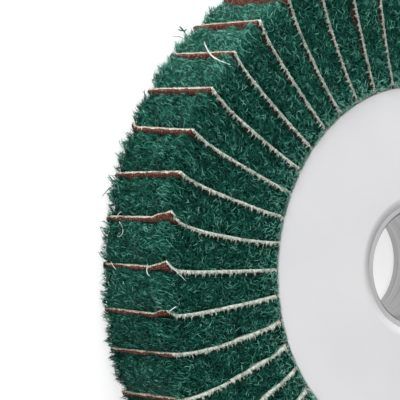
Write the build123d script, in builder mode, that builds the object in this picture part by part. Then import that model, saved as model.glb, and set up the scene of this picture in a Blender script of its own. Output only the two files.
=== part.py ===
from build123d import *
import os

# Interleaved flap wheel for an angle grinder: coated-abrasive cloth flaps and thick nonwoven
# fleece flaps stand alternately around a resin core. Two thin flanges on the core cover their
# roots, and a steel bush lines the bore. Millimetres. The wheel lies on its back, with its axis
# along +Z and its origin on the axis, level with the back side edges of the abrasive flaps.
# Angles run anticlockwise as seen from the front.

# Whole wheel
wheel_diameter = 125.0          # over the tips of the abrasive flaps
wheel_width = 20.0              # over the side edges of the abrasive flaps
flap_pairs = 46                 # an abrasive flap and a fleece flap in each pair
first_flap_angle = 6.45         # degrees from +X to the tip of the first abrasive flap

# Abrasive flaps: each sheet is straight where the flanges clamp it, bows towards larger angles
# beyond them and is bent back at its tip. Offsets are sideways from the radial line to the tip.
abrasive_thickness = 0.9        # cloth backing with its grit
clamped_offset = 0.8            # the straight stretch under the flanges
belly_offset = 1.4              # halfway along the bow
bend_offset = 1.0               # where the bent tip starts
tip_length = 4.5

# Fleece flaps: they fill the room between two sheets
fleece_tip_setback = 0.6        # rim below the tips of the sheets
fleece_side_setback = 0.2       # below the side edges of the sheets
fleece_clearance = 0.05         # to the sheets beside it

# Core, flanges and bush
core_diameter = 54.0            # resin cylinder that holds the roots
root_clearance = 0.05           # roots to the core
flange_diameter = 71.5
flange_thickness = 0.5
flange_recess = 0.6             # flange face below the side edges of the sheets
flange_gap = 0.1                # flange edge to the notches in the flaps
bore_diameter = 22.23
bush_wall = 1.5
bush_clearance = 0.02           # bush to the flanges and the core
bush_chamfer = 0.5

# Derived
wheel_radius = wheel_diameter / 2
bend_radius = wheel_radius - tip_length
notch_radius = flange_diameter / 2 + flange_gap
root_radius = core_diameter / 2 + root_clearance
bush_radius = bore_diameter / 2 + bush_wall
hub_hole_radius = bush_radius + bush_clearance
seat_depth = flange_recess + flange_thickness
core_length = wheel_width - 2 * seat_depth
fleece_side = abrasive_thickness / 2 + fleece_clearance
fleece_tip_radius = wheel_radius - fleece_tip_setback
pitch = 360 / flap_pairs
flap_nodes = flap_pairs // 2    # each node holds flaps that stand opposite each other

os.makedirs("parts", exist_ok=True)


def save(builder, name):
    """Labels a finished piece and writes it as a STEP file."""
    builder.part.label = name
    export_step(builder.part, f"parts/{name}.step")


def sheet_points(side, turn=0.0, tip_radius=wheel_radius):
    """Points down a sheet, side away from its middle: root, notch, belly, bend and tip."""
    tip_offset = bend_offset * (wheel_radius - tip_radius) / tip_length
    stations = [
        (root_radius, clamped_offset),
        (notch_radius, clamped_offset),
        ((notch_radius + bend_radius) / 2, belly_offset),
        (bend_radius, bend_offset),
        (tip_radius, tip_offset),
    ]
    return [Vector(x, y + side).rotate(Axis.Z, turn) for x, y in stations]


def draw_free_side(notch, belly, bend, tip):
    """Draws one side of a flap beyond the flanges: its bow and its bent tip."""
    ThreePointArc(notch, belly, bend)
    Line(bend, tip)


# One abrasive flap, with its tip on +X: narrow between the flanges, full width beyond them
back = sheet_points(-abrasive_thickness / 2)
grit = sheet_points(abrasive_thickness / 2)
with BuildPart() as abrasive_flap:
    with BuildSketch(Plane.XY.offset(seat_depth)):
        with BuildLine():
            Polyline(back[1], back[0], grit[0], grit[1], close=True)
        make_face()
    extrude(amount=core_length)
    with BuildSketch():
        with BuildLine():
            draw_free_side(*back[1:])
            draw_free_side(*grit[1:])
            Line(back[1], grit[1])
            Line(back[-1], grit[-1])
        make_face()
    extrude(amount=wheel_width)

# One fleece flap, between that sheet and the next one
near = sheet_points(fleece_side, tip_radius=fleece_tip_radius)
far = sheet_points(-fleece_side, turn=pitch, tip_radius=fleece_tip_radius)
mid_tip = Vector(fleece_tip_radius, 0).rotate(Axis.Z, pitch / 2)
with BuildPart() as fleece_flap:
    with BuildSketch(Plane.XY.offset(seat_depth)):
        with BuildLine():
            Polyline(near[1], near[0], far[0], far[1], close=True)
        make_face()
    extrude(amount=core_length)
    with BuildSketch(Plane.XY.offset(fleece_side_setback)):
        with BuildLine():
            draw_free_side(*near[1:])
            draw_free_side(*far[1:])
            Line(near[1], far[1])
            ThreePointArc(near[-1], mid_tip, far[-1])
        make_face()
    extrude(amount=wheel_width - 2 * fleece_side_setback)

# The flaps all round, in nodes of opposite ones
for number in range(flap_nodes):
    turns = [first_flap_angle + pitch * n for n in range(number, flap_pairs, flap_nodes)]
    places = [Location((0, 0, 0), (0, 0, turn)) for turn in turns]
    with BuildPart() as abrasive_flaps:
        with Locations(*places):
            add(abrasive_flap.part)
    save(abrasive_flaps, f"abrasive_flaps_{number + 1:02d}")
    with BuildPart() as fleece_flaps:
        with Locations(*places):
            add(fleece_flap.part)
    save(fleece_flaps, f"fleece_flaps_{number + 1:02d}")

# Resin core, cast inside the roots and between the two flanges
with BuildPart() as resin_core:
    with BuildSketch(Plane.XY.offset(seat_depth)):
        Circle(core_diameter / 2)
        Circle(hub_hole_radius, mode=Mode.SUBTRACT)
    extrude(amount=core_length)
save(resin_core, "resin_core")

# Flanges, each on the core and in the notches of the flaps
for name, height in (("back_flange", flange_recess), ("front_flange", wheel_width - seat_depth)):
    with BuildPart() as flange:
        with BuildSketch(Plane.XY.offset(height)):
            Circle(flange_diameter / 2)
            Circle(hub_hole_radius, mode=Mode.SUBTRACT)
        extrude(amount=flange_thickness)
    save(flange, name)

# Steel bush through the core, its ends level with the flanges
with BuildPart() as arbor_bush:
    with BuildSketch(Plane.XY.offset(flange_recess)):
        Circle(bush_radius)
        Circle(bore_diameter / 2, mode=Mode.SUBTRACT)
    extrude(amount=wheel_width - 2 * flange_recess)
    bore_mouths = edges().filter_by(GeomType.CIRCLE).group_by(SortBy.RADIUS)[0]
    chamfer(bore_mouths, length=bush_chamfer)
save(arbor_bush, "arbor_bush")
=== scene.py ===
import bpy
import numpy as np
from mathutils import Matrix, Vector


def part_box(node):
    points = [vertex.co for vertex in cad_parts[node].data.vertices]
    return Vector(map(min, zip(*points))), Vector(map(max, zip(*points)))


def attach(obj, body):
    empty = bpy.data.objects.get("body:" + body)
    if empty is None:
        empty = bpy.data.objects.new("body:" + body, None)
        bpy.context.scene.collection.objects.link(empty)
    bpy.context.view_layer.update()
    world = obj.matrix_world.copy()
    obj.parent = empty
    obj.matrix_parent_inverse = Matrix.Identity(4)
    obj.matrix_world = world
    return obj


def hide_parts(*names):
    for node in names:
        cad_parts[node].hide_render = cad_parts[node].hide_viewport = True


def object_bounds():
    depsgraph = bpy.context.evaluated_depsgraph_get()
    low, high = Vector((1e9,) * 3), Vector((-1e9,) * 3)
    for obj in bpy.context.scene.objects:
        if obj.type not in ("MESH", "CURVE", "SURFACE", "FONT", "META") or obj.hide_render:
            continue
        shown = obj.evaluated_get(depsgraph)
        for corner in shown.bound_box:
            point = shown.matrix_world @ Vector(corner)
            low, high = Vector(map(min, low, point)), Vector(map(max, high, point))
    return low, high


# Interleaved flap wheel, lying on its back on a white floor. Everything is in metres.
# Places are worked out as radius, turn and height: turn is anticlockwise from +X, in radians.
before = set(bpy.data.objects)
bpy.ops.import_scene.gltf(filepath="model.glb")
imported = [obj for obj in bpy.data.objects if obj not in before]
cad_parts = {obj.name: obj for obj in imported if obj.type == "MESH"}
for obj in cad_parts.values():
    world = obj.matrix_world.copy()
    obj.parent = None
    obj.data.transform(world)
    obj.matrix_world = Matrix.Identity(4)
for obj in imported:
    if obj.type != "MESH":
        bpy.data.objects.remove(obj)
cadLow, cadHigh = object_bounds()
mm = 0.001
degree = np.pi / 180
rng = np.random.default_rng(46)

wheel = {
    "radius": 62.5 * mm,                        # over the tips of the sheets
    "width": cadHigh.z,
    "flaps": 46,                                # sheets, and as many fleece flaps between them
    "firstTurn": 6.45 * degree,                 # tip of sheet 0
    "rootRadius": 27.05 * mm,
    "notchRadius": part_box("front_flange")[1].x + 0.1 * mm,
    "ledge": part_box("back_flange")[1].z,        # roots are notched by this for the flanges
}
pitch = 2 * np.pi / wheel["flaps"]
nodeCount = wheel["flaps"] // 2
print("frame loaded,", len(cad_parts), "nodes")


def polar(r, turn, z):
    # x = r cos turn, y = r sin turn
    return np.stack(np.broadcast_arrays(r * np.cos(turn), r * np.sin(turn), z), -1)


def unit(v):
    # v / length of v
    return v / np.linalg.norm(v, axis=-1, keepdims=True)


def between(pair, share):
    # first + (second - first) share
    return pair[0] + (pair[1] - pair[0]) * share


def makeRipple(wavelength, waves):
    # directions and phases of a smooth random field, with wavelengths 0.7 to 1.5 of the one given
    lengths = wavelength * rng.uniform(0.7, 1.5, (waves, 1))
    return unit(rng.normal(size=(waves, 3))) * 2 * np.pi / lengths, rng.uniform(0, 2 * np.pi, waves)


def ripple(field, points):
    # sum of sin(k . point + phase), scaled to stay mostly between -1 and 1
    k, phase = field
    return np.sin(points @ k.T + phase).sum(-1) / np.sqrt(len(phase) * 1.2)


def makePiece(name, parts, material, nodes=()):
    # one mesh from parts: each is points, a list of face blocks with one row for each face,
    # and a dictionary of values for its points
    starts = np.cumsum([0] + [len(points) for points, _, _ in parts])
    blocks = [block + start for (_, faces, _), start in zip(parts, starts) for block in faces]
    corners = np.concatenate([block.ravel() for block in blocks])
    sizes = np.concatenate([np.full(len(block), block.shape[1]) for block in blocks])
    points = np.concatenate([part[0] for part in parts])
    mesh = bpy.data.meshes.new(name)
    mesh.vertices.add(len(points))
    mesh.vertices.foreach_set("co", points.astype(np.float32).ravel())
    mesh.loops.add(len(corners))
    mesh.loops.foreach_set("vertex_index", corners.astype(np.int32))
    mesh.polygons.add(len(sizes))
    mesh.polygons.foreach_set("loop_start", (np.cumsum(sizes) - sizes).astype(np.int32))
    mesh.polygons.foreach_set("use_smooth", np.ones(len(sizes), bool))
    for key in parts[0][2]:
        values = np.concatenate([np.broadcast_to(part[2][key], len(part[0])) for part in parts])
        mesh.attributes.new(key, "FLOAT", "POINT").data.foreach_set("value", values.astype(np.float32))
    mesh.update(calc_edges=True)
    mesh.materials.append(material)
    piece = bpy.data.objects.new(name, mesh)
    bpy.context.collection.objects.link(piece)
    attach(piece, "root")
    if nodes:
        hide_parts(*nodes)
    return piece


def makeThreads(path, radius):
    # closed thin threads with pointed ends: path is threads x stations x 3, and a ring of three
    # points stands round each inner station, radius away: centre + radius (a cos s + b sin s)
    count, stations = path.shape[:2]
    inner = stations - 2
    along = path[:, -1] - path[:, 0]
    other = np.where(np.abs(along[:, 2:]) < 0.7 * np.linalg.norm(along, axis=1, keepdims=True),
                     np.array([[0.0, 0.0, 1.0]]), np.array([[1.0, 0.0, 0.0]]))
    a = unit(np.cross(other, along))
    b = unit(np.cross(along, a))
    spin = np.arange(3) * 2 * np.pi / 3
    ring = a[:, None, :] * np.cos(spin)[:, None] + b[:, None, :] * np.sin(spin)[:, None]
    rings = path[:, 1:-1, None, :] + ring[:, None] * radius.reshape(count, -1, 1, 1)
    points = np.concatenate([path[:, :1], rings.reshape(count, inner * 3, 3), path[:, -1:]], 1)
    size = inner * 3 + 2
    step, after = np.arange(3), (np.arange(3) + 1) % 3
    last = 1 + (inner - 1) * 3
    ends = np.concatenate([np.stack([0 * step, 1 + after, 1 + step], -1),
                           np.stack([last + step, last + after, 0 * step + size - 1], -1)])
    starts = (np.arange(count) * size)[:, None, None]
    faces = [(ends + starts).reshape(-1, 3)]
    if inner > 1:
        rows = 1 + 3 * np.arange(inner - 1)[:, None]
        walls = np.stack([rows + step, rows + after, rows + 3 + after, rows + 3 + step], -1).reshape(-1, 4)
        faces.append((walls + starts).reshape(-1, 4))
    return points.reshape(-1, 3), faces


def threadValues(values):
    # values for each station of each thread, repeated round the rings
    count = values.shape[0]
    inner = np.repeat(values[:, 1:-1], 3, axis=1)
    return np.concatenate([values[:, :1], inner, values[:, -1:]], 1).reshape(count * (inner.shape[1] + 2))


camera = {
    "place": (-277.8 * mm, 19.5 * mm, 309.1 * mm),
    "aim": (-55.06 * mm, 13.25 * mm, 20.0 * mm),
    "roll": -92.01 * degree,
    "lens": 180.0,
}


def makeCamera():
    # looks from place to aim, then turns about that line by roll
    data = bpy.data.cameras.new("camera")
    data.lens = camera["lens"]
    data.clip_start = 0.01
    made = bpy.data.objects.new("camera", data)
    bpy.context.collection.objects.link(made)
    place = Vector(camera["place"])
    look = (Vector(camera["aim"]) - place).to_track_quat("-Z", "Y").to_matrix()
    turned = look @ Matrix.Rotation(-camera["roll"], 3, "Z")
    made.matrix_world = Matrix.Translation(place) @ turned.to_4x4()
    bpy.context.scene.camera = made


makeCamera()
print("camera placed")


# Shape of a sheet: its middle surface bows to one side, and each tip leans a little in its own way.
sheetShape = {
    "thickness": 0.9 * mm,
    "radii": np.array([35.85, 42.0, 47.0, 51.0, 55.5, 59.5, 62.5]),     # mm
    "offsets": np.array([0.80, 1.28, 1.40, 1.36, 1.20, 0.76, 0.0]),     # mm
    "bowSpread": 0.16,
    "leanSpread": 0.28 * degree,
    "twistSpread": 0.22 * degree,
    "mostLean": 0.8 * degree,
    "wave": 0.16 * mm,
    "waveTurns": (5.5, 4),         # radians of the wave across the sheet and out along it
    "leaningWave": 0.3,            # share of the wave on the sheets with a lean of their own
    # lean of front and back corner of some tips, in degrees
    "leaning": {16: (0.0, 0.2), 17: (0.08, -0.2), 18: (0.1, -0.1), 19: (0.4, -0.2), 20: (0.05, 0.6),
                21: (0.15, 0.4), 22: (0.65, 0.75), 23: (0.65, 0.72), 24: (-0.5, -0.05), 25: (-0.15, 0.28)},
    # tips that curl up to the sheet before: lift at some heights, all in mm
    "curls": {21: ((14.6, 15.2, 15.9, 18.2, 20.0), (0.0, 0.3, 0.55, 0.85, 1.3)),
              22: ((14.8, 17.0, 19.0, 20.0), (0.0, 0.5, 0.95, 1.3)),
              23: ((16.0, 17.0, 18.8, 20.0), (0.0, 0.42, 0.85, 0.75)),
              19: ((0.0, 0.4, 1.2, 2.2), (1.0, 0.8, 0.3, 0.0))},
    "curlReach": 2.6 * mm,
    "curlPower": 1.5,
}
bowFormula = np.poly1d(np.polyfit(sheetShape["radii"], sheetShape["offsets"], 4))
bowScale = 1 + sheetShape["bowSpread"] * rng.uniform(-1, 1, wheel["flaps"])
lean = rng.normal(0, sheetShape["leanSpread"], wheel["flaps"])
twist = rng.normal(0, sheetShape["twistSpread"], wheel["flaps"])
tipLean = np.clip(np.stack([lean + twist, lean - twist], -1), -sheetShape["mostLean"], sheetShape["mostLean"])
for sheet, corners in sheetShape["leaning"].items():
    tipLean[sheet] = np.array(corners) * degree
wavePhase = rng.uniform(0, 2 * np.pi, (wheel["flaps"], 2))
hasLean = np.isin(np.arange(wheel["flaps"]), list(sheetShape["leaning"]))
waveSize = np.where(hasLean, sheetShape["leaningWave"], 1.0) * sheetShape["wave"]


def sheetTurn(n, r, z, sideways=0.0, curled=True):
    # turn of a point of sheet n = place of the sheet + (bow + lean + wave + sideways - curl) / r;
    # the lean grows with the square of the free share of the radius, from 0 at the flange
    n = n % wheel["flaps"]
    free = np.clip((r - wheel["notchRadius"]) / (wheel["radius"] - wheel["notchRadius"]), 0, 1)
    bow = bowFormula(np.maximum(r, wheel["notchRadius"]) / mm) * mm
    bow = bow + (bowScale[n] - 1) * 4 * free * (1 - free) * bow
    across = np.clip(z / wheel["width"], 0, 1)
    leaning = (tipLean[n, 0] * across + tipLean[n, 1] * (1 - across)) * free**2 * wheel["radius"]
    over, out = sheetShape["waveTurns"]
    wave = waveSize[n] * free * np.sin(across * over + wavePhase[n, 0]) * np.sin(free * out + wavePhase[n, 1])
    curl = 0.0
    if curled and n in sheetShape["curls"]:
        heights, lifts = sheetShape["curls"][n]
        outer = np.clip(1 - (wheel["radius"] - r) / sheetShape["curlReach"], 0, 1)
        curl = np.interp(z / mm, heights, lifts) * mm * outer**sheetShape["curlPower"]
    return wheel["firstTurn"] + n * pitch + (bow + leaning + wave + sideways - curl) / r


fleece = {
    "tipRadius": 62.4 * mm,
    "sideGap": 0.15 * mm,          # side faces lie below the side edges of the sheets
    "corner": 1.9 * mm,            # rounding of the rim corners
    "dropUnder": (0.06 * mm, 0.95 * mm),    # most fall beside the grit of one sheet, on sides and rim
    "dropOver": 0.3 * mm,                   # and beside the cloth of the next
    "dropPowers": (7, 10),                  # how steeply the two falls end
    # share of the first fall, height of the pile in mm and brightness of the rim
    "usualSunk": (0.2, 0.8),
    "usualLevel": (-0.25, 0.15),
    "usualPale": (0.92, 1.12),
    # the same for flaps that stand out
    "sunk": {15: 0.5, 16: 0.25, 17: 0.55, 18: 0.75, 19: 0.55, 20: 0.4, 21: 0.3,
             22: 0.1, 23: 0.1, 24: 0.1, 25: 0.2},
    "level": {15: -0.85, 16: -0.4, 17: -0.1, 18: 0.0, 19: 0.1, 20: 0.0, 21: 0.1,
              22: 0.3, 23: 0.35, 24: 0.3, 25: 0.3},
    # rim brightness: painted light on flaps 15 to 17, which face the lamps; on the others the fibres' own
    # tone
    "paleAndLit": {15: 1.4, 16: 1.6, 17: 1.45, 18: 1.05, 19: 0.98, 20: 1.05, 21: 1.12,
             22: 1.15, 23: 0.95, 24: 1.12},
    "crown": 0.65 * mm,
    "backSlope": (0.55, 4.5 * mm),          # the crown loses this share at the back edge, over this height
    "lump": 0.33 * mm,
    "lumpLength": 5.0 * mm,
    "pit": 0.24 * mm,
    "ragged": 1.3,                 # pits are deeper by this share at the rim corners
    "pitLength": 1.4 * mm,
    "depth": 0.2 * mm,             # the skin, painted nearly black for the shade deep in the pile, lies this far below the pile
    "rootDip": 0.3 * mm,           # the faces are pressed down by this beside the flanges
    "rootReach": 1.0 * mm,
    "rootLift": 0.7,               # share of a fibre's height that is left there
    "rootOver": 0.08 * mm,         # the pile may lean over the notch by this
    "floorGap": 0.11 * mm,         # and stays this far above the floor
    "slopeStep": 0.25 * mm,
    "alongPoints": 66,             # of the skin
    "acrossPoints": 9,
    # fibres that lie in the pile, bowed, and ones that stand out of it; to the square
    # millimetre of front, rim and back
    "lying": {"density": (1.45, 1.4, 0.6), "length": (0.8 * mm, 2.2 * mm),
              "radius": (0.035 * mm, 0.06 * mm), "stations": (0.0, 0.3, 0.7, 1.0)},
    "standing": {"density": (3.2, 3.3, 0.9), "length": (0.5 * mm, 1.4 * mm),
                 "radius": (0.035 * mm, 0.06 * mm), "stations": (0.0, 0.45, 1.0)},
    "stray": {"density": (0.1, 0.2, 0.05), "length": (0.7 * mm, 1.9 * mm),
              "radius": (0.05 * mm, 0.08 * mm), "stations": (0.0, 0.3, 0.7, 1.0)},
    "tuft": {"lying": 1, "standing": 2, "stray": 4},                   # fibres that share a root
    "cornerExtra": {"lying": 0.3, "standing": 3.4, "stray": 14.0},     # more of them about the rim corners
    "frontShare": {"lying": 1.0, "standing": 0.4, "stray": 0.1},       # but only this share in front
    "cornerThick": 0.3,            # and thicker and longer by these shares
    "cornerLong": 0.3,
    "cornerReach": 1.7 * mm,
    "rootFibres": (36, 12),        # more tufts along the front flange and the back flange
    "rootScatter": 0.3 * mm,
    "tuftScatter": 0.1 * mm,
    "tuftSpread": (0.8, 1.6),      # share of the spread inside a tuft, and from tuft to tuft
    "spread": (1.0, 0.42),         # of the headings in radians, on the sides and on the rim
    "bow": 0.5,
    "sunkEnd": -0.3 * mm,          # ends that go down into the pile
    "lyingTop": (0.02, 0.28),      # least height of lying fibres, and how much more, in mm
    "secondTop": (0.5, 1.3),       # share of it at their third station
    "looseEnds": (0.25, 0.35 * mm),         # share of them with one end up, and by how much at most
    "stand": (0.2, 0.3, 0.1, 0.5, 0.95),    # least steepness, more by tuft, by fibre, at corners, most
    "acrossRange": (-0.07, 1.02),  # how far fibres may reach over the sheets
    # brightness
    "shine": (0.46, 0.24),         # of a fibre, and its spread
    "risenPaintedLight": 0.1,             # painted light: more for lying fibres that lie high in the pile
    "sunkPaintedShade": 0.2,              # painted shade: share of it at their sunk ends
    "rootPaintedShade": (0.15, 1.0),      # painted shade: share at the root of standing fibres, and how much more at the tip
    "gritPaintedShadow": (0.5, 3.5, 0.4),  # painted shadow of the sheet over the pile: share beside the grit, its rise from there, and the least
    "facePale": 1.13,              # share on the sides
    "skinLight": 0.3,              # share of a rim's extra brightness, painted light on the top flaps, that its skin takes on
    "rootPale": (2.6, 2.1 * mm),   # more beside the flanges, and over what length it falls off
    "rootWhitening": (1.2, 0.65 * mm),         # the same for whiteness
    "rootChance": (0.2, 1.2),      # spread of both
    "patchLength": 1.6 * mm,       # patches of lighter and darker fibres
    "patch": (0.5, 0.16),          # on the sides and on the rim
    "waves": (14, 24, 24),         # in the fields of lumps, pits and patches
    "placeSteps": 600,             # along the outline, where fibres are shared out
}
lumps, pits, patches = [makeRipple(fleece[name], waves) for name, waves
                        in zip(("lumpLength", "pitLength", "patchLength"), fleece["waves"])]
sunkShare = rng.uniform(*fleece["usualSunk"], wheel["flaps"])
pileLevel = rng.uniform(*fleece["usualLevel"], wheel["flaps"])
rimPaleAndLit = rng.uniform(*fleece["usualPale"], wheel["flaps"])
for values, given in ((sunkShare, fleece["sunk"]), (pileLevel, fleece["level"]), (rimPaleAndLit, fleece["paleAndLit"])):
    values[list(given)] = list(given.values())
pileLevel = pileLevel * mm


def fleeceOutline():
    # outline of a fleece flap in r and z: out along the back, up the rim, in along the front
    width, gap, corner, tip = wheel["width"], fleece["sideGap"], fleece["corner"], fleece["tipRadius"]
    bend = np.linspace(0, np.pi / 2, 9)
    r = np.concatenate([[wheel["notchRadius"]], tip - corner + corner * np.sin(bend)])
    z = np.concatenate([[gap], gap + corner - corner * np.cos(bend)])
    r = np.concatenate([r, r[::-1]])
    z = np.concatenate([z, width - z[::-1]])
    return r, z, np.concatenate([[0], np.cumsum(np.hypot(np.diff(r), np.diff(z)))])


outlineR, outlineZ, outlineAlong = fleeceOutline()
outlineLength = outlineAlong[-1]


def radiusAt(along):
    # r at a length along the outline
    return np.interp(along, outlineAlong, outlineR)


def heightAt(along):
    # z at a length along the outline
    return np.interp(along, outlineAlong, outlineZ)


def cornerShare(along):
    # 1 at the two rim corners of the outline, falling to 0 at cornerReach from them
    corner = fleece["tipRadius"] - wheel["notchRadius"]
    away = np.minimum(np.abs(along - corner), np.abs(outlineLength - along - corner))
    return np.clip(1 - away / fleece["cornerReach"], 0, 1)


def rimShare(along):
    # 0 on the sides, and rises to 1 between 2 mm and 1 mm below the rim
    return np.clip((radiusAt(along) - fleece["tipRadius"]) / mm + 2, 0, 1)


def betweenSheets(n, r, z, across):
    # place across from the grit of sheet n to the cloth of the next, on straight shares of the
    # turn between them
    half = sheetShape["thickness"] / 2
    near = sheetTurn(n, r, z, half, curled=False)
    far = sheetTurn(n + 1, r, z, -half) + (2 * np.pi if n == wheel["flaps"] - 1 else 0)
    return polar(r, near + (far - near) * across, z)


def fleecePoint(n, along, across, lift=0.0):
    # point of fleece flap n: along its outline, and across from sheet n to sheet n + 1, moved
    # outwards by (crown + level - drop beside the sheets + lumps + pits) x fade - dip + lift;
    # fade rises from 0 at the flange, and the dip falls off with (1 - fade)^2
    r, z = radiusAt(along), heightAt(along)
    step = fleece["slopeStep"]
    slopeR = radiusAt(along + step) - radiusAt(along - step)
    slopeZ = heightAt(along + step) - heightAt(along - step)
    size = np.hypot(slopeR, slopeZ)
    outR, outZ = slopeZ / size, -slopeR / size
    rough = polar(r, wheel["firstTurn"] + (n + across) * pitch, z)
    slope, slopeHeight = fleece["backSlope"]
    crown = fleece["crown"] * (1 - slope * np.clip(1 - z / slopeHeight, 0, 1))
    swell = (crown * np.clip(4 * across * (1 - across), 0, 1) + pileLevel[n]) * np.abs(outR)
    under = between(fleece["dropUnder"], np.abs(outR)) * sunkShare[n]
    gritPower, clothPower = fleece["dropPowers"]
    drop = under * np.clip(1 - across, 0, 1)**gritPower
    drop = drop + fleece["dropOver"] * np.clip(across, 0, 1)**clothPower
    pit = fleece["pit"] * (1 + fleece["ragged"] * cornerShare(along))
    swell = swell - drop + fleece["lump"] * ripple(lumps, rough) + pit * ripple(pits, rough)
    fade = np.clip((r - wheel["notchRadius"]) / fleece["rootReach"], 0, 1)
    risen = fleece["rootLift"] + (1 - fleece["rootLift"]) * fade
    out = swell * fade - fleece["rootDip"] * (1 - fade)**2 + lift * np.where(lift > 0, risen, 1)
    r = np.maximum(r + outR * out, wheel["notchRadius"] - fleece["rootOver"])
    z = np.maximum(z + outZ * out, fleece["floorGap"])
    return betweenSheets(n, r, z, across)


def fleeceBody(n):
    # skin of one flap, painted dark as the shade deep in the pile: rings across it at places along
    # the outline, then the narrow root between the flanges, and a flat cap against each sheet
    along = np.linspace(0, outlineLength, fleece["alongPoints"])[:, None]
    across = (1 - np.cos(np.linspace(0, np.pi, fleece["acrossPoints"]))) / 2
    skin = fleecePoint(n, along, across, -fleece["depth"])
    notch, root = wheel["notchRadius"], wheel["rootRadius"]
    rootR = np.array([notch, root, root, notch])[:, None]
    rootZ = np.array([wheel["width"] - wheel["ledge"]] * 2 + [wheel["ledge"]] * 2)[:, None]
    grid = np.concatenate([skin, betweenSheets(n, rootR, rootZ, across)])
    index = np.arange(grid.shape[0] * grid.shape[1]).reshape(grid.shape[:2])
    after = np.roll(index, -1, 0)
    walls = np.stack([index[:, :-1], index[:, 1:], after[:, 1:], after[:, :-1]], -1).reshape(-1, 4)
    body = np.ones(grid.shape[:2])
    # the skin of a brighter rim is lighter too, painted light on the top flaps
    body[:len(along)] -= fleece["skinLight"] * rimShare(along) * max(rimPaleAndLit[n] - 1, 0)
    values = {"tone": 0.5, "body": body.ravel(), "whitening": 0.0}
    return grid.reshape(-1, 3), [walls, index[None, :, 0], index[None, ::-1, -1]], values


def fibrePlaces(kind):
    # places along and across for the fibres of one flap, drawn so that each stretch of the
    # outline gets density x width of the flap there
    along = np.linspace(0, outlineLength, fleece["placeSteps"])
    r = radiusAt(along)
    side = fleece["tipRadius"] - wheel["notchRadius"] - 0.5 * fleece["corner"]
    front, rim, back = fleece[kind]["density"]
    density = np.where(along < side, back, np.where(along > outlineLength - side, front, rim)) / mm**2
    extra = fleece["cornerExtra"][kind] * np.where(along < outlineLength / 2, 1, fleece["frontShare"][kind])
    density = density + rim / mm**2 * extra * np.minimum(2 * cornerShare(along), 1)
    total = np.cumsum(density * (r * pitch - sheetShape["thickness"])) * (along[1] - along[0])
    tuft = fleece["tuft"][kind]
    places = np.interp(rng.uniform(0, total[-1], int(total[-1]) // tuft), total, along)
    if kind == "standing":
        front, back = fleece["rootFibres"]
        besideFlange = np.abs(rng.normal(0, fleece["rootScatter"] / mm, front + back)) * mm
        places = np.concatenate([places, outlineLength - besideFlange[:front], besideFlange[front:]])
    return np.repeat(places, tuft), np.repeat(rng.uniform(0.0, 1.0, len(places)), tuft)


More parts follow.
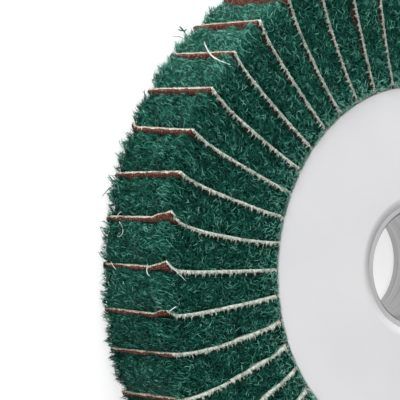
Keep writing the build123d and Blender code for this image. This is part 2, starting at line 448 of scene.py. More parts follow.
def fleeceFibres(n, kind):
    # each fibre heads some way over the skin and bows aside: its station t lies at t x length
    # along the heading and 2 x bow x length x t (1 - t) beside it. Lying fibres are sunk at the
    # start, near their top between and sunk or loose at the end; the others rise by
    # stand x length and reach length x sqrt(1 - stand^2)
    along, across = fibrePlaces(kind)
    count, tuft = len(along), fleece["tuft"][kind]
    along = along + (rng.normal(0, fleece["tuftScatter"] / mm, count) * mm if tuft > 1 else 0)
    shared = np.repeat(rng.random((count // tuft, 3)), tuft, axis=0)
    atCorner, onRim = cornerShare(along)[:, None], rimShare(along)[:, None]
    t = np.array([fleece[kind]["stations"]])
    inside, outside = fleece["tuftSpread"] if tuft > 1 else (1.0, 0.0)
    spread = between(fleece["spread"], onRim)
    heading = rng.normal(0, 1, (count, 1)) * spread * inside + np.pi * (shared[:, :1] < 0.5)
    heading = heading + outside * spread * (shared[:, 1:2] - 0.5)
    length = rng.uniform(*fleece[kind]["length"], (count, 1)) * (1 + fleece["cornerLong"] * atCorner)
    ahead = t * length
    beside = rng.normal(0, fleece["bow"], (count, 1)) * length * t * (1 - t) * 2
    rise = rng.uniform(0.0, 1.0, (count, 1))
    sunk = np.full((count, 1), fleece["sunkEnd"])
    if kind == "lying":
        looseShare, looseLift = fleece["looseEnds"]
        loose = rng.random((count, 1)) < looseShare
        top = (fleece["lyingTop"][0] + fleece["lyingTop"][1] * rise) * mm
        end = np.where(loose, top + looseLift * rng.random((count, 1)), sunk)
        middle = top * rng.uniform(*fleece["secondTop"], (count, 1))
        height = np.concatenate([sunk, top, middle, end], 1)
        # lying fibres are painted lighter when high and darker at their sunk ends, as shade deep in the pile
        shine = rng.normal(*fleece["shine"], (count, 1)) + fleece["risenPaintedLight"] * rise
        sunkShadeTone = fleece["sunkPaintedShade"] * shine
        tone = np.concatenate([sunkShadeTone, shine, shine, np.where(loose, shine, sunkShadeTone)], 1)
    else:
        least, byTuft, byFibre, byCorner, most = fleece["stand"]
        stand = least + byTuft * shared[:, 2:] + rng.uniform(-byFibre, byFibre, (count, 1))
        stand = np.minimum(stand + byCorner * atCorner, most)
        height = sunk + (stand * length - fleece["sunkEnd"]) * t
        ahead = ahead * np.sqrt(1 - stand**2)
        # standing fibres are painted darker at the root, as shade deep in the pile
        atRoot, more = fleece["rootPaintedShade"]
        tone = rng.normal(*fleece["shine"], (count, 1)) * (atRoot + more * np.sqrt(t))
    width = radiusAt(along)[:, None] * pitch - sheetShape["thickness"]
    stationAlong = along[:, None] + np.cos(heading) * ahead - np.sin(heading) * beside
    stationAcross = across[:, None] + (np.sin(heading) * ahead + np.cos(heading) * beside) / width
    stationAcross = np.clip(stationAcross, *fleece["acrossRange"])
    path = fleecePoint(n, np.clip(stationAlong, 0, outlineLength), stationAcross, height)
    # painted shadow: fibres darker beside the grit of the sheet that stands over them
    atGrit, growth, darkest = fleece["gritPaintedShadow"]
    shade = np.clip(atGrit + growth * stationAcross, darkest, 1)
    rootward = radiusAt(stationAlong) - wheel["notchRadius"]
    chance = rng.uniform(*fleece["rootChance"], (count, 1))
    # fibres beside the flanges are made lighter and whiter, falling off over a short length
    rootPale = fleece["rootPale"][0] * np.exp(-rootward / fleece["rootPale"][1]) * chance
    whitening = fleece["rootWhitening"][0] * np.exp(-rootward / fleece["rootWhitening"][1]) * chance**2
    patch = between(fleece["patch"], onRim) * ripple(patches, path[:, 1])[:, None]
    shade = shade * (1 + patch) * between((fleece["facePale"], rimPaleAndLit[n]), onRim)
    radius = rng.uniform(*fleece[kind]["radius"], count) * (1 + fleece["cornerThick"] * cornerShare(along))
    points, faces = makeThreads(path, radius)
    return points, faces, {"tone": threadValues(np.clip(tone * shade + rootPale, 0, 1)), "body": 0.0,
                           "whitening": threadValues(np.clip(whitening, 0, 1))}


def startMaterial(name):
    # a new material, its tree and its shader
    material = bpy.data.materials.new(name)
    material.use_nodes = True
    return material, material.node_tree, material.node_tree.nodes["Principled BSDF"]


def feed(tree, node, inputs):
    # each input of the node is linked from a socket or set to a value
    for key, value in inputs.items():
        if isinstance(value, bpy.types.NodeSocket):
            tree.links.new(value, node.inputs[key])
        else:
            node.inputs[key].default_value = value


def addNode(tree, kind, inputs=None, **settings):
    # a node with its settings and its inputs
    made = tree.nodes.new(kind)
    for key, value in settings.items():
        setattr(made, key, value)
    feed(tree, made, inputs or {})
    return made


def calculate(tree, operation, a, b=0.0, c=0.0):
    # a, b and c joined by the operation
    return addNode(tree, "ShaderNodeMath", {0: a, 1: b, 2: c}, operation=operation).outputs[0]


def blendColours(tree, factor, a, b):
    # a (1 - factor) + b factor
    return addNode(tree, "ShaderNodeMix", {0: factor, 6: a, 7: b}, data_type="RGBA").outputs[2]


def colourRamp(tree, factor, stops):
    # colour at factor, straight between the stops
    made = addNode(tree, "ShaderNodeValToRGB", {"Fac": factor})
    elements = made.color_ramp.elements
    for _ in stops[2:]:
        elements.new(1.0)
    for element, (place, colour) in zip(elements, stops):
        element.position = place
        element.color = (*colour, 1)
    return made.outputs["Color"]


def noise(tree, scale, detail=3.0, roughness=0.6, shift=0.0, stretch=(1.0, 1.0, 1.0)):
    # cloudy values about one half, at stretch x place + shift
    place = addNode(tree, "ShaderNodeTexCoord").outputs["Object"]
    moved = addNode(tree, "ShaderNodeMapping", {"Vector": place, "Location": (shift, -shift, 2 * shift),
                                                "Scale": stretch}).outputs[0]
    return addNode(tree, "ShaderNodeTexNoise", {"Vector": moved, "Scale": scale, "Detail": detail,
                                                "Roughness": roughness}).outputs["Fac"]


def attribute(tree, name):
    # value that the mesh holds at its points
    return addNode(tree, "ShaderNodeAttribute", attribute_name=name).outputs["Fac"]


def mapRange(tree, value, low, high, toLow=0.0, toHigh=1.0):
    # toLow + (toHigh - toLow) (value - low) / (high - low), kept between the two
    return addNode(tree, "ShaderNodeMapRange", {"Value": value, "From Min": low, "From Max": high,
                                                "To Min": toLow, "To Max": toHigh}).outputs["Result"]


def addBump(tree, height, strength, distance):
    # normal tilted by the slope of strength x distance x height
    return addNode(tree, "ShaderNodeBump", {"Height": height, "Strength": strength,
                                            "Distance": distance}).outputs["Normal"]


nylonLook = {
    "cloud": (0.8, 1.15),          # brightness of large patches
    "patch": (0.7, 1.3),           # and of small ones
    "fineness": (150, 500),        # of both
    "fibre": ((0.0, (0.0014, 0.014, 0.010)), (0.3, (0.015, 0.110, 0.075)),
              (0.6, (0.060, 0.275, 0.198)), (1.0, (0.220, 0.570, 0.445))),
    "whitened": (0.62, 0.70, 0.64, 1),
    # painted shade: the skin is nearly black for the shadow deep in the pile
    "skin": (0.0008, 0.007, 0.005, 1),
    # threads drawn on the skin in layers, darker than the fibres as painted shade of deeper fibres: how fine,
    # shift of the noise, colour
    "threads": ((700, 0.1, (0.004, 0.032, 0.022, 1)), (1000, 0.2, (0.008, 0.065, 0.046, 1)),
                (1400, 0.3, (0.016, 0.120, 0.086, 1))),
    "threadEdge": (0.045, 0.015),
    "flatThreads": (1.0, 1.0, 0.55),
}


def greenNylon():
    # fibres take their colour from tone; the skin below is painted nearly black for the shade deep in the
    # pile, with thin curved darker threads drawn where a noise passes through one half
    material, tree, shader = startMaterial("greenNylon")
    large, small = nylonLook["fineness"]
    cloud, patch = noise(tree, large, 2), noise(tree, small, 3, 0.6, 0.5)
    light = calculate(tree, "MULTIPLY", mapRange(tree, cloud, 0.3, 0.7, *nylonLook["cloud"]),
                      mapRange(tree, patch, 0.35, 0.65, *nylonLook["patch"]))
    tone = calculate(tree, "MULTIPLY", attribute(tree, "tone"), light)
    fibre = colourRamp(tree, tone, nylonLook["fibre"])
    fibre = blendColours(tree, attribute(tree, "whitening"), fibre, nylonLook["whitened"])
    skin = nylonLook["skin"]
    relief = cloud
    for scale, shift, colour in nylonLook["threads"]:
        field = noise(tree, scale, 1, 0.5, shift, nylonLook["flatThreads"])
        line = calculate(tree, "ABSOLUTE", calculate(tree, "SUBTRACT", field, 0.5))
        line = calculate(tree, "MULTIPLY", mapRange(tree, line, *nylonLook["threadEdge"]), light)
        skin = blendColours(tree, line, skin, colour)
        relief = calculate(tree, "MAXIMUM", relief, line)
    colour = blendColours(tree, attribute(tree, "body"), fibre, skin)
    feed(tree, shader, {"Base Color": colour, "Normal": addBump(tree, relief, 0.6, 0.2 * mm),
                        "Roughness": 0.5, "Specular IOR Level": 0.05, "Specular Tint": (0.2, 1.0, 0.8, 1)})
    return material


nylon = greenNylon()
for node in range(nodeCount):
    parts = []
    for n in (node, node + nodeCount):
        parts += [fleeceBody(n)] + [fleeceFibres(n, kind) for kind in ("lying", "standing", "stray")]
    pad = makePiece(f"fleecePair{node + 1:02d}", parts, nylon, [f"fleece_flaps_{node + 1:02d}"])
print("fleece flaps made,", sum(len(part[0]) for part in parts), "points in the last")


sheets = {
    "roundIn": 0.12 * mm,          # faces stand back from the cut edges
    "rimRoundIn": 0.7,             # by this share of it at the rim edge
    "layers": (0, 0.36, 0.62, 1.0),         # from cloth to grit
    "stations": (8, 4),            # on the bow and near the tip
    "lines": 16,                   # from the back edge to the front
    "curledStations": (8, 11),     # the same for sheets with a curled tip
    "curledLines": 34,
    "bowStart": 1.5 * mm,          # stations start this far beyond the notch
    "bowEnd": 6.5 * mm,            # and change here, from the rim
    "tipStart": 5.5 * mm,
    "lineEase": 0.35,              # how much closer lines stand near the edges
    "fringe": (150, 75),           # cut threads along the front edge and the back edge
    "fringeFrom": 0.6 * mm,        # beyond the notch
    "fringeTo": 0.2 * mm,          # below the rim
    "fringeReach": (0.0 * mm, 1.2 * mm),    # from the middle of the sheet
    "fringeLengths": (0.1, 1.0),   # share of it that single threads have
    "fringeRadius": (0.1 * mm, 0.2 * mm),
    "fringeRoot": (0.3, 1.6),      # they start this far into the cloth, in half thicknesses
    "fringeBunch": 1.25 * mm,      # they hang in bunches this far apart
    "bunchPull": 0.15,             # drawn together by this share of it
    "bunchSwing": (2.2, 1.1 * mm), # bunches come closer and part by this, over this length
    "bunchLength": (0.6, -0.4),    # share of the reach inside a bunch, and how it falls beside
    "fringeScatter": (0.13, 0.18), # of their roots and of their ends, in mm
    "fringeStations": (0.0, 0.55, 1.0),
    "fringeHump": (-0.1, 0.2, 0.0),         # height over the edge at their stations, in mm
    "humpSpread": (0.5, 1.5),
    "tipThreads": 34,              # ends of threads along the rim edge
    "tipMargin": 0.15,             # mm from the corners
    "tipScatter": 0.05,            # of their heights, in mm
    "tipSideways": (0.02, 0.14, 0.06),      # their stations, in mm
    "tipShift": (-0.08, 0.06),     # of single threads, sideways
    "tipOutwards": (-0.4, -0.05, 0.18),
    "tipLengths": (0.4, 1.3),      # share of it that single threads have
    "tipRadius": (0.10, 0.16),
}


def boxShell(shape):
    # outside of a box of points, as quads that face outwards, and which points they use
    index = np.arange(np.prod(shape)).reshape(shape)

    def quads(grid):
        # the four corners of each cell of a grid
        return np.stack([grid[:-1, :-1], grid[1:, :-1], grid[1:, 1:], grid[:-1, 1:]], -1).reshape(-1, 4)

    faces = np.concatenate([quads(index[-1]), quads(index[0].T), quads(index[:, -1].T),
                            quads(index[:, 0]), quads(index[:, :, -1]), quads(index[:, :, 0].T)])
    used, faces = np.unique(faces, return_inverse=True)
    return used, faces.reshape(-1, 4)


def sheetBody(n):
    # a box of points bent to the sheet: stations out from the root, layers from cloth to grit
    # and lines from the back edge to the front, closer together near the edges
    radius, width, notch = wheel["radius"], wheel["width"], wheel["notchRadius"]
    curled = n in sheetShape["curls"]
    onBow, onTip = sheets["curledStations"] if curled else sheets["stations"]
    stations = np.concatenate([[wheel["rootRadius"], notch],
                               np.linspace(notch + sheets["bowStart"], radius - sheets["bowEnd"], onBow),
                               np.linspace(radius - sheets["tipStart"], radius, onTip)])
    even = np.linspace(-1, 1, sheets["curledLines"] if curled else sheets["lines"])
    lines = (1 + sheets["lineEase"]) * even - sheets["lineEase"] * even**3
    r, layer, line = np.meshgrid(stations, sheets["layers"], lines, indexing="ij")
    low = np.where(r <= notch, wheel["ledge"], 0)
    skin = (layer < 0.01) | (layer > 0.99)
    edge = np.abs(line) > 0.999
    z = width / 2 + line * (width / 2 - low - sheets["roundIn"] * (skin & edge))
    r = r - sheets["roundIn"] * sheets["rimRoundIn"] * (skin & (r > radius - 0.001 * mm))
    sideways = (layer - 0.5) * sheetShape["thickness"]
    points = polar(r, sheetTurn(n, r, z, sideways), z).reshape(-1, 3)
    used, faces = boxShell(r.shape)
    atSide = edge & (r > notch)
    atRim = r > radius - 0.2 * mm
    values = {"layer": layer.ravel()[used], "atSide": atSide.ravel()[used].astype(float),
              "atRim": atRim.ravel()[used].astype(float), "out": r.ravel()[used]}
    return points[used], [faces], values


def sheetFringe(n):
    # cut threads along the two side edges: each starts in the cloth and hangs over the grit,
    # sideways = start + (reach - start) x share, and stands off the edge by a hump
    front, back = sheets["fringe"]
    start, stop = wheel["notchRadius"] + sheets["fringeFrom"], wheel["radius"] - sheets["fringeTo"]
    r = np.concatenate([np.linspace(start, stop, front), np.linspace(start, stop, back)])[:, None]
    count = len(r)
    bunch, (swings, swingLength) = sheets["fringeBunch"], sheets["bunchSwing"]
    atRoot, atEnd = sheets["fringeScatter"]
    swing = 2 * np.pi * r / bunch + rng.uniform(0, 6) + swings * np.sin(r / swingLength + n)
    pull = sheets["bunchPull"] * bunch * np.sin(swing)
    r = np.maximum(r + pull + rng.normal(0, atRoot, (count, 1)) * mm, start)
    up = np.where(np.arange(count) < front, 1.0, -1.0)[:, None]
    half = sheetShape["thickness"] / 2
    middle, fall = sheets["bunchLength"]
    reach = np.clip(rng.uniform(*sheets["fringeLengths"], (count, 1)) * (middle + fall * np.cos(swing)), 0, 1)
    reach = between(sheets["fringeReach"], reach)
    share = np.array([sheets["fringeStations"]])
    rooted = -half * rng.uniform(*sheets["fringeRoot"], (count, 1))
    sideways = rooted + (reach - rooted) * share
    hump = np.array([sheets["fringeHump"]]) * mm * rng.uniform(*sheets["humpSpread"], (count, 1))
    z = np.maximum(np.where(up > 0, wheel["width"], 0) + up * hump, sheets["fringeRadius"][1])
    r = np.maximum(r + rng.normal(0, atEnd, (count, 1)) * mm * share, start)
    path = polar(r, sheetTurn(n, np.minimum(r, wheel["radius"]), z, sideways), z)
    points, faces = makeThreads(path, rng.uniform(*sheets["fringeRadius"], count))
    return points, faces, {"layer": -1.0, "atSide": 0.0, "atRim": 0.0, "out": np.repeat(r[:, 0], 5)}


def tipThreads(n):
    # short thread ends along the rim edge, on the cloth side of the sheet, each at its own
    # height: sideways = -half thickness + station, r = radius of the wheel + station
    count, margin, scatter = sheets["tipThreads"], sheets["tipMargin"], sheets["tipScatter"]
    z = np.linspace(margin, wheel["width"] / mm - margin, count) + rng.normal(0, scatter, count)
    z = z[:, None] * mm
    half = sheetShape["thickness"] / 2
    sideways = -half + np.array([sheets["tipSideways"]]) * mm
    sideways = sideways + rng.uniform(*sheets["tipShift"], (count, 1)) * mm
    outwards = np.array([sheets["tipOutwards"]]) * mm * rng.uniform(*sheets["tipLengths"], (count, 1))
    r = wheel["radius"] + outwards
    z = z + rng.normal(0, scatter, (count, 1)) * mm * np.array([[0, 0, 1]])
    path = polar(r, sheetTurn(n, np.minimum(r, wheel["radius"]), z, sideways), z)
    points, faces = makeThreads(path, rng.uniform(*sheets["tipRadius"], count) * mm)
    return points, faces, {"layer": -1.0, "atSide": 0.0, "atRim": 0.8, "out": wheel["radius"]}


clothLook = {
    "warp": 0.6 * mm,              # spacing of the threads across and along
    "weft": 0.5 * mm,
    "weave": 0.09,
    "border": (0.27, 0.1, 0.36),   # cloth's share of a cut edge, more at the rim, more at the sides
    "ragged": 1.0,
    "fineness": (900, 1900, 4200), # of the ragged border, the fluff and the grains
    "cream": ((0.3, (0.30, 0.33, 0.285)), (0.5, (0.51, 0.56, 0.50)), (0.72, (0.64, 0.695, 0.63))),
    "tanned": ((0.3, (0.32, 0.27, 0.21)), (0.5, (0.62, 0.57, 0.46)), (0.72, (0.79, 0.76, 0.66))),
    "grains": ((0.1, (0.050, 0.014, 0.010)), (0.5, (0.140, 0.038, 0.027)),
               (0.85, (0.220, 0.080, 0.056)), (1.0, (0.460, 0.260, 0.190))),
    "furrowShade": (0.012, 0.006, 0.004, 1),     # painted shade between the threads, at the rim edge
    "fringeShadow": (0.012, 0.012, 0.009, 1),     # painted shadow under the fringe, at the side edges
}


def coatedCloth():
    # cream woven cloth with red-brown grit on one side; the cut edge shows both, and the ragged
    # border lies further over the grit on the side edges, where the grit is painted dark as shadow under the
    # fringe
    material, tree, shader = startMaterial("coatedCloth")
    layer, atSide = attribute(tree, "layer"), attribute(tree, "atSide")
    atRim, out = attribute(tree, "atRim"), attribute(tree, "out")
    place = addNode(tree, "ShaderNodeTexCoord").outputs["Object"]
    height = addNode(tree, "ShaderNodeSeparateXYZ", {0: place}).outputs["Z"]
    warp = calculate(tree, "SINE", calculate(tree, "MULTIPLY", height, 2 * np.pi / clothLook["warp"]))
    weft = calculate(tree, "SINE", calculate(tree, "MULTIPLY", out, 2 * np.pi / clothLook["weft"]))
    weave = calculate(tree, "ADD", warp, weft)
    byBorder, byFluff, byGrains = clothLook["fineness"]
    ragged = calculate(tree, "SUBTRACT", noise(tree, byBorder, 3), 0.5)
    least, moreAtRim, moreAtSide = clothLook["border"]
    border = calculate(tree, "MULTIPLY_ADD", atRim, moreAtRim, least)
    border = calculate(tree, "MULTIPLY_ADD", atSide, moreAtSide, border)
    border = calculate(tree, "MULTIPLY_ADD", ragged, clothLook["ragged"], border)
    grit = mapRange(tree, calculate(tree, "SUBTRACT", layer, border), -0.03, 0.03)
    fluff = calculate(tree, "MULTIPLY_ADD", weave, clothLook["weave"], noise(tree, byFluff, 2, 0.5))
    cream = colourRamp(tree, fluff, clothLook["cream"])
    cream = blendColours(tree, atRim, cream, colourRamp(tree, fluff, clothLook["tanned"]))
    cells = addNode(tree, "ShaderNodeTexVoronoi", {"Vector": place, "Scale": byGrains})
    speck = addNode(tree, "ShaderNodeSeparateColor", {0: cells.outputs["Color"]}).outputs["Red"]
    grains = colourRamp(tree, speck, clothLook["grains"])
    # painted shade in the furrows between the threads of the rim edge
    furrowShade = calculate(tree, "MULTIPLY", atRim, mapRange(tree, warp, 0.2, -0.9, 0.0, 0.7))
    grains = blendColours(tree, furrowShade, grains, clothLook["furrowShade"])
    # painted shadow under the fringe darkens the grit on the side edges
    grains = blendColours(tree, mapRange(tree, atSide, 0.0, 0.7), grains, clothLook["fringeShadow"])
    rough = calculate(tree, "MULTIPLY", cells.outputs["Distance"], grit)
    relief = calculate(tree, "MULTIPLY_ADD", calculate(tree, "SUBTRACT", 1.0, grit), fluff, rough)
    feed(tree, shader, {"Base Color": blendColours(tree, grit, cream, grains), "Roughness": 0.8,
                        "Normal": addBump(tree, relief, 0.8, 0.15 * mm), "Specular IOR Level": 0.2})
    return material


cloth = coatedCloth()
for node in range(nodeCount):
    parts = []
    for n in (node, node + nodeCount):
        parts += [sheetBody(n), sheetFringe(n), tipThreads(n)]
    makePiece(f"sheetPair{node + 1:02d}", parts, cloth, [f"abrasive_flaps_{node + 1:02d}"])
print("abrasive sheets made,", sum(len(part[0]) for part in parts), "points in the last")


# Loose threads on the pile: each is its radius, then radius, turn and height of the points it
# passes, in mm and degrees.
looseThreads = {
    "white": [
        (0.15, ((62.8, 136.9, 8.8), (62.9, 138.3, 10.8), (63.1, 140.1, 13.8), (63.3, 141.5, 16.9),
                (63.0, 142.2, 19.7), (62.2, 142.2, 20.9))),
        (0.07, ((63.0, 171.8, 4.9), (63.1, 172.5, 5.9), (63.1, 173.4, 6.6), (63.1, 174.05, 6.4),
                (63.1, 174.4, 5.6), (63.0, 174.2, 4.8))),
        (0.06, ((62.9, 171.5, 3.6), (62.95, 171.0, 3.9), (63.0, 170.5, 4.4), (63.0, 170.2, 5.3))),
        (0.09, ((62.7, 178.7, 14.4), (62.9, 179.3, 14.6), (63.0, 180.1, 14.8), (62.9, 180.6, 15.4))),
        (0.08, ((62.5, 178.0, 19.9), (61.9, 178.8, 20.4), (60.8, 179.6, 20.6), (59.6, 180.5, 20.6),
                (58.4, 181.4, 20.5))),
        (0.06, ((63.0, 178.7, 3.2), (63.1, 179.3, 4.0), (63.0, 180.0, 5.0))),
        (0.10, ((62.4, 186.4, 20.2), (62.0, 185.9, 20.9), (61.2, 185.6, 21.0))),
        (0.08, ((62.8, 154.7, 3.9), (62.8, 155.5, 4.5))),
    ],
    "green": [
        (0.07, ((62.3, 134.7, 0.9), (63.0, 134.8, 1.1), (63.8, 134.8, 1.2))),
        (0.16, ((63.5, 134.8, 1.2), (64.4, 134.8, 1.2), (65.3, 134.9, 1.2))),
        (0.13, ((63.7, 134.8, 1.2), (63.9, 134.5, 1.3), (63.8, 134.15, 1.3))),
        (0.13, ((64.1, 134.8, 1.2), (64.6, 135.2, 1.1), (65.1, 135.4, 1.1))),
        (0.07, ((62.2, 165.6, 0.9), (63.3, 166.0, 0.9), (64.1, 166.9, 0.8), (64.9, 168.0, 0.8))),
        (0.06, ((62.6, 159.1, 0.9), (63.6, 158.7, 0.8), (64.5, 157.9, 0.8))),
        (0.06, ((62.2, 178.6, 0.9), (63.3, 178.1, 0.8), (64.2, 177.2, 0.8))),
        (0.05, ((61.7, 172.3, 0.9), (63.0, 172.1, 0.8), (64.2, 172.1, 0.8))),
        (0.05, ((62.4, 135.5, 1.0), (63.6, 135.9, 0.9), (64.8, 137.1, 0.8))),
    ],
    "stations": 16,
    "sides": 6,
    "endShare": 0.25,              # of the radius, at the ends
    "mostBends": 4,
    "cotton": ((0.3, (0.50, 0.56, 0.52)), (0.6, (0.74, 0.79, 0.76))),
}


def makeStrand(points, radius, tone):
    # round tube along a smooth curve fitted to the points: rings of
    # centre + radius (a cos s + b sin s), thinner at its ends by the square root of a sine
    points = np.array(points)
    places = polar(points[:, 0] * mm, points[:, 1] * degree, points[:, 2] * mm)
    gone = np.concatenate([[0], np.cumsum(np.linalg.norm(np.diff(places, axis=0), axis=1))])
    t = np.linspace(0, 1, looseThreads["stations"])
    power = min(len(points) - 1, looseThreads["mostBends"])
    path = np.stack([np.polyval(np.polyfit(gone / gone[-1], places[:, k], power), t) for k in range(3)], -1)
    along = unit(np.gradient(path, axis=0))
    away = unit(path * [1, 1, 0] + [0, 0, 0.01])
    a = unit(np.cross(away, along))
    b = np.cross(along, a)
    spin = np.arange(looseThreads["sides"]) * 2 * np.pi / looseThreads["sides"]
    least = looseThreads["endShare"]
    thick = radius * mm * (least + (1 - least) * np.sin(np.pi * (0.04 + 0.92 * t))**0.5)
    ring = a[:, None] * np.cos(spin)[:, None] + b[:, None] * np.sin(spin)[:, None]
    rings = path[:, None] + thick[:, None, None] * ring
    index = np.arange(len(t) * len(spin)).reshape(len(t), len(spin))
    after = np.roll(index, -1, 1)
    walls = np.stack([index[:-1], after[:-1], after[1:], index[1:]], -1).reshape(-1, 4)
    values = {"tone": tone, "body": 0.0, "whitening": 0.0}
    return rings.reshape(-1, 3), [walls, index[:1, ::-1], index[-1:]], values


def paleYarn():
    # bleached cotton, a little grey in places
    material, tree, shader = startMaterial("paleYarn")
    cloud = noise(tree, 900, 2)
    colour = colourRamp(tree, cloud, looseThreads["cotton"])
    feed(tree, shader, {"Base Color": colour, "Normal": addBump(tree, cloud, 0.3, 0.05 * mm),
                        "Roughness": 0.6})
    return material


makePiece("looseWhiteThreads", [makeStrand(points, radius, 1.0) for radius, points in looseThreads["white"]],
          paleYarn())
makePiece("looseGreenFibres", [makeStrand(points, radius, 0.4) for radius, points in looseThreads["green"]],
          nylon)
print("loose threads laid")


flange = {
    "edge": (0.3 * mm, 0.18 * mm),              # rounding of the outer edge, in and down
    "dish": 0.06 * mm,
    "segments": 192,
    "faceSteps": 14,
    "edgeSteps": 6,
    "hole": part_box("arbor_bush")[1].x + 0.02 * mm,
    "enamel": ((0.725, 0.725, 0.740, 1), (0.765, 0.765, 0.775, 1)),
}


def revolve(r, z, segments):
    # carries a closed outline, anticlockwise in r and z, round the axis
    turn = np.arange(segments)[:, None] * 2 * np.pi / segments
    points = polar(r[None], turn, z[None])
    index = np.arange(segments * len(r)).reshape(segments, len(r))
    right, up = np.roll(index, -1, 0), np.roll(index, -1, 1)
    return points.reshape(-1, 3), [np.stack([index, right, np.roll(right, -1, 1), up], -1).reshape(-1, 4)], {}


def flangeOutline(node, facing):
    # half section: flat inside, a face dished by a sine, and a rounded outer edge
    low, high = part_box(node)
    hole, outer, (inward, edge) = flange["hole"], high.x, flange["edge"]
    share = np.linspace(0, 1, flange["faceSteps"])[1:]
    bend = np.linspace(np.pi / 2, 0, flange["edgeSteps"])
    turnOut, turnIn = outer - inward + inward * np.cos(bend), outer - inward + inward * np.cos(bend[::-1])
    face = hole + (outer - inward - hole) * share[::-1]
    r = np.concatenate([[hole], turnOut, turnIn, face[1:], [hole]])
    thick = high.z - low.z
    rise = np.concatenate([[0], edge - edge * np.sin(bend), thick - edge + edge * np.sin(bend[::-1]),
                           thick - flange["dish"] * np.sin(np.pi * share[::-1][1:])**2, [thick]])
    if facing > 0:
        return r, low.z + rise
    return r[::-1], high.z - rise[::-1]


def greyEnamel():
    # smooth light grey paint, satin, with faint handling marks
    material, tree, shader = startMaterial("greyEnamel")
    cloud, specks = noise(tree, 60, 3, 0.5), noise(tree, 700, 2, 0.5, 0.4)
    colour = blendColours(tree, mapRange(tree, cloud, 0.3, 0.7), *flange["enamel"])
    feed(tree, shader, {"Base Color": colour, "Roughness": mapRange(tree, specks, 0.2, 0.8, 0.42, 0.58),
                        "Normal": addBump(tree, specks, 0.1, 0.02 * mm), "Specular IOR Level": 0.3})
    return material


enamel = greyEnamel()
for name, node, facing in (("frontFlange", "front_flange", 1), ("backFlange", "back_flange", -1)):
    makePiece(name, [revolve(*flangeOutline(node, facing), flange["segments"])], enamel, [node])
print("flanges made")


hub = {
    "steel": ((0.3, (0.36, 0.36, 0.36)), (0.7, (0.56, 0.56, 0.57))),
    "resin": ((0.3, (0.10, 0.07, 0.035)), (0.7, (0.20, 0.15, 0.08))),
    "marks": (40.0, 40.0, 3000.0), # how fine the turned marks are in x, y and z
}


def turnedSteel():
    # tube with fine turned marks that run round it
    material, tree, shader = startMaterial("turnedSteel")
    marks = noise(tree, 1.0, 3, 0.6, 0.0, hub["marks"])
    colour = colourRamp(tree, marks, hub["steel"])
    feed(tree, shader, {"Base Color": colour, "Roughness": mapRange(tree, marks, 0.2, 0.8, 0.28, 0.42),
                        "Normal": addBump(tree, marks, 0.2, 0.02 * mm), "Metallic": 1.0})
    return material


def amberResin():
    # clouded brown glue, cast and not finished
    material, tree, shader = startMaterial("amberResin")
    cloud = noise(tree, 200, 3)
    colour = colourRamp(tree, cloud, hub["resin"])
    feed(tree, shader, {"Base Color": colour, "Normal": addBump(tree, cloud, 0.2, 0.1 * mm),
                        "Roughness": 0.4})
    return material


for node, material in (("arbor_bush", turnedSteel()), ("resin_core", amberResin())):
    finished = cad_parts[node]
    finished.data.materials.clear()
    finished.data.materials.append(material)
print("hub finished")


studio = {
    "floorReach": 3.0,
    "floorDrop": 0.02 * mm,        # the floor lies this far below the wheel
    "floorColour": (0.8, 0.8, 0.8, 1),
    "floorGlow": 0.69,             # white that the camera sees, below the part that takes the shadow
    "floorShadow": (0.37, 0.37, 0.37, 1),
    "skyLight": 0.35,
    "lamps": {"keyLamp": ((-0.20, 0.55, 0.95), 0.6, 4.0), "topLamp": ((-0.35, 1.1, 0.30), 0.5, 12.5),
              "fillLamp": ((-0.9, -0.25, 0.55), 0.7, 4.0)},
}


def seenDirectly(tree):
    # 1 for rays from the camera, in mirrors and through clear things
    path = addNode(tree, "ShaderNodeLightPath").outputs
    most = calculate(tree, "MAXIMUM", path["Is Camera Ray"], path["Is Glossy Ray"])
    return calculate(tree, "MAXIMUM", most, path["Is Transmission Ray"])


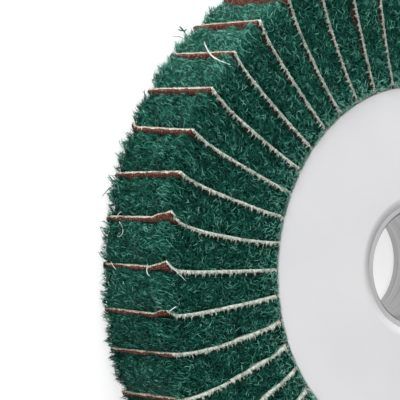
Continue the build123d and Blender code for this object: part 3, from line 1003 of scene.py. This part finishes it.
def makeFloor():
    # square of reach to each side; the camera sees a glow and a matt part that takes the shadow
    reach = studio["floorReach"]
    corners = np.array([[-1, -1, 0], [1, -1, 0], [1, 1, 0], [-1, 1, 0]]) * reach - [0, 0, studio["floorDrop"]]
    mesh = bpy.data.meshes.new("floor")
    mesh.from_pydata(corners.tolist(), [], [(0, 1, 2, 3)])
    floor = bpy.data.objects.new("floor", mesh)
    bpy.context.collection.objects.link(floor)
    material, tree = startMaterial("whiteFloor")[:2]
    tree.nodes.clear()
    matt = addNode(tree, "ShaderNodeBsdfDiffuse", {"Color": studio["floorColour"]}).outputs[0]
    shadow = addNode(tree, "ShaderNodeBsdfDiffuse", {"Color": studio["floorShadow"]}).outputs[0]
    glow = addNode(tree, "ShaderNodeEmission", {"Strength": studio["floorGlow"]}).outputs[0]
    seen = addNode(tree, "ShaderNodeAddShader", {0: shadow, 1: glow}).outputs[0]
    mixed = addNode(tree, "ShaderNodeMixShader", {0: seenDirectly(tree), 1: matt, 2: seen}).outputs[0]
    addNode(tree, "ShaderNodeOutputMaterial", {"Surface": mixed})
    mesh.materials.append(material)


def makeSky():
    # white to the camera, dimmer as a light
    world = bpy.data.worlds.new("studio")
    bpy.context.scene.world = world
    world.use_nodes = True
    tree = world.node_tree
    tree.nodes.clear()
    white = (1, 1, 1, 1)
    soft = addNode(tree, "ShaderNodeBackground", {"Color": white, "Strength": studio["skyLight"]}).outputs[0]
    seen = addNode(tree, "ShaderNodeBackground", {"Color": white, "Strength": 1.0}).outputs[0]
    mixed = addNode(tree, "ShaderNodeMixShader", {0: seenDirectly(tree), 1: soft, 2: seen}).outputs[0]
    addNode(tree, "ShaderNodeOutputWorld", {"Surface": mixed})


def makeLamps():
    # square lamps of place, size and power, turned to the origin
    for name, (place, size, power) in studio["lamps"].items():
        data = bpy.data.lights.new(name, "AREA")
        data.size = size
        data.energy = power
        lamp = bpy.data.objects.new(name, data)
        bpy.context.collection.objects.link(lamp)
        lamp.location = place
        lamp.rotation_mode = "QUATERNION"
        lamp.rotation_quaternion = (-Vector(place)).to_track_quat("-Z", "Y")


makeFloor()
makeSky()
makeLamps()
bpy.context.scene.view_settings.view_transform = "Standard"
print("floor, sky and lamps placed")

meshes = [piece for piece in bpy.data.objects if piece.type == "MESH"]
added = [piece.data for piece in meshes if piece.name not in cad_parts]
print("triangles added:", sum(len(mesh.loops) - 2 * len(mesh.polygons) for mesh in added))
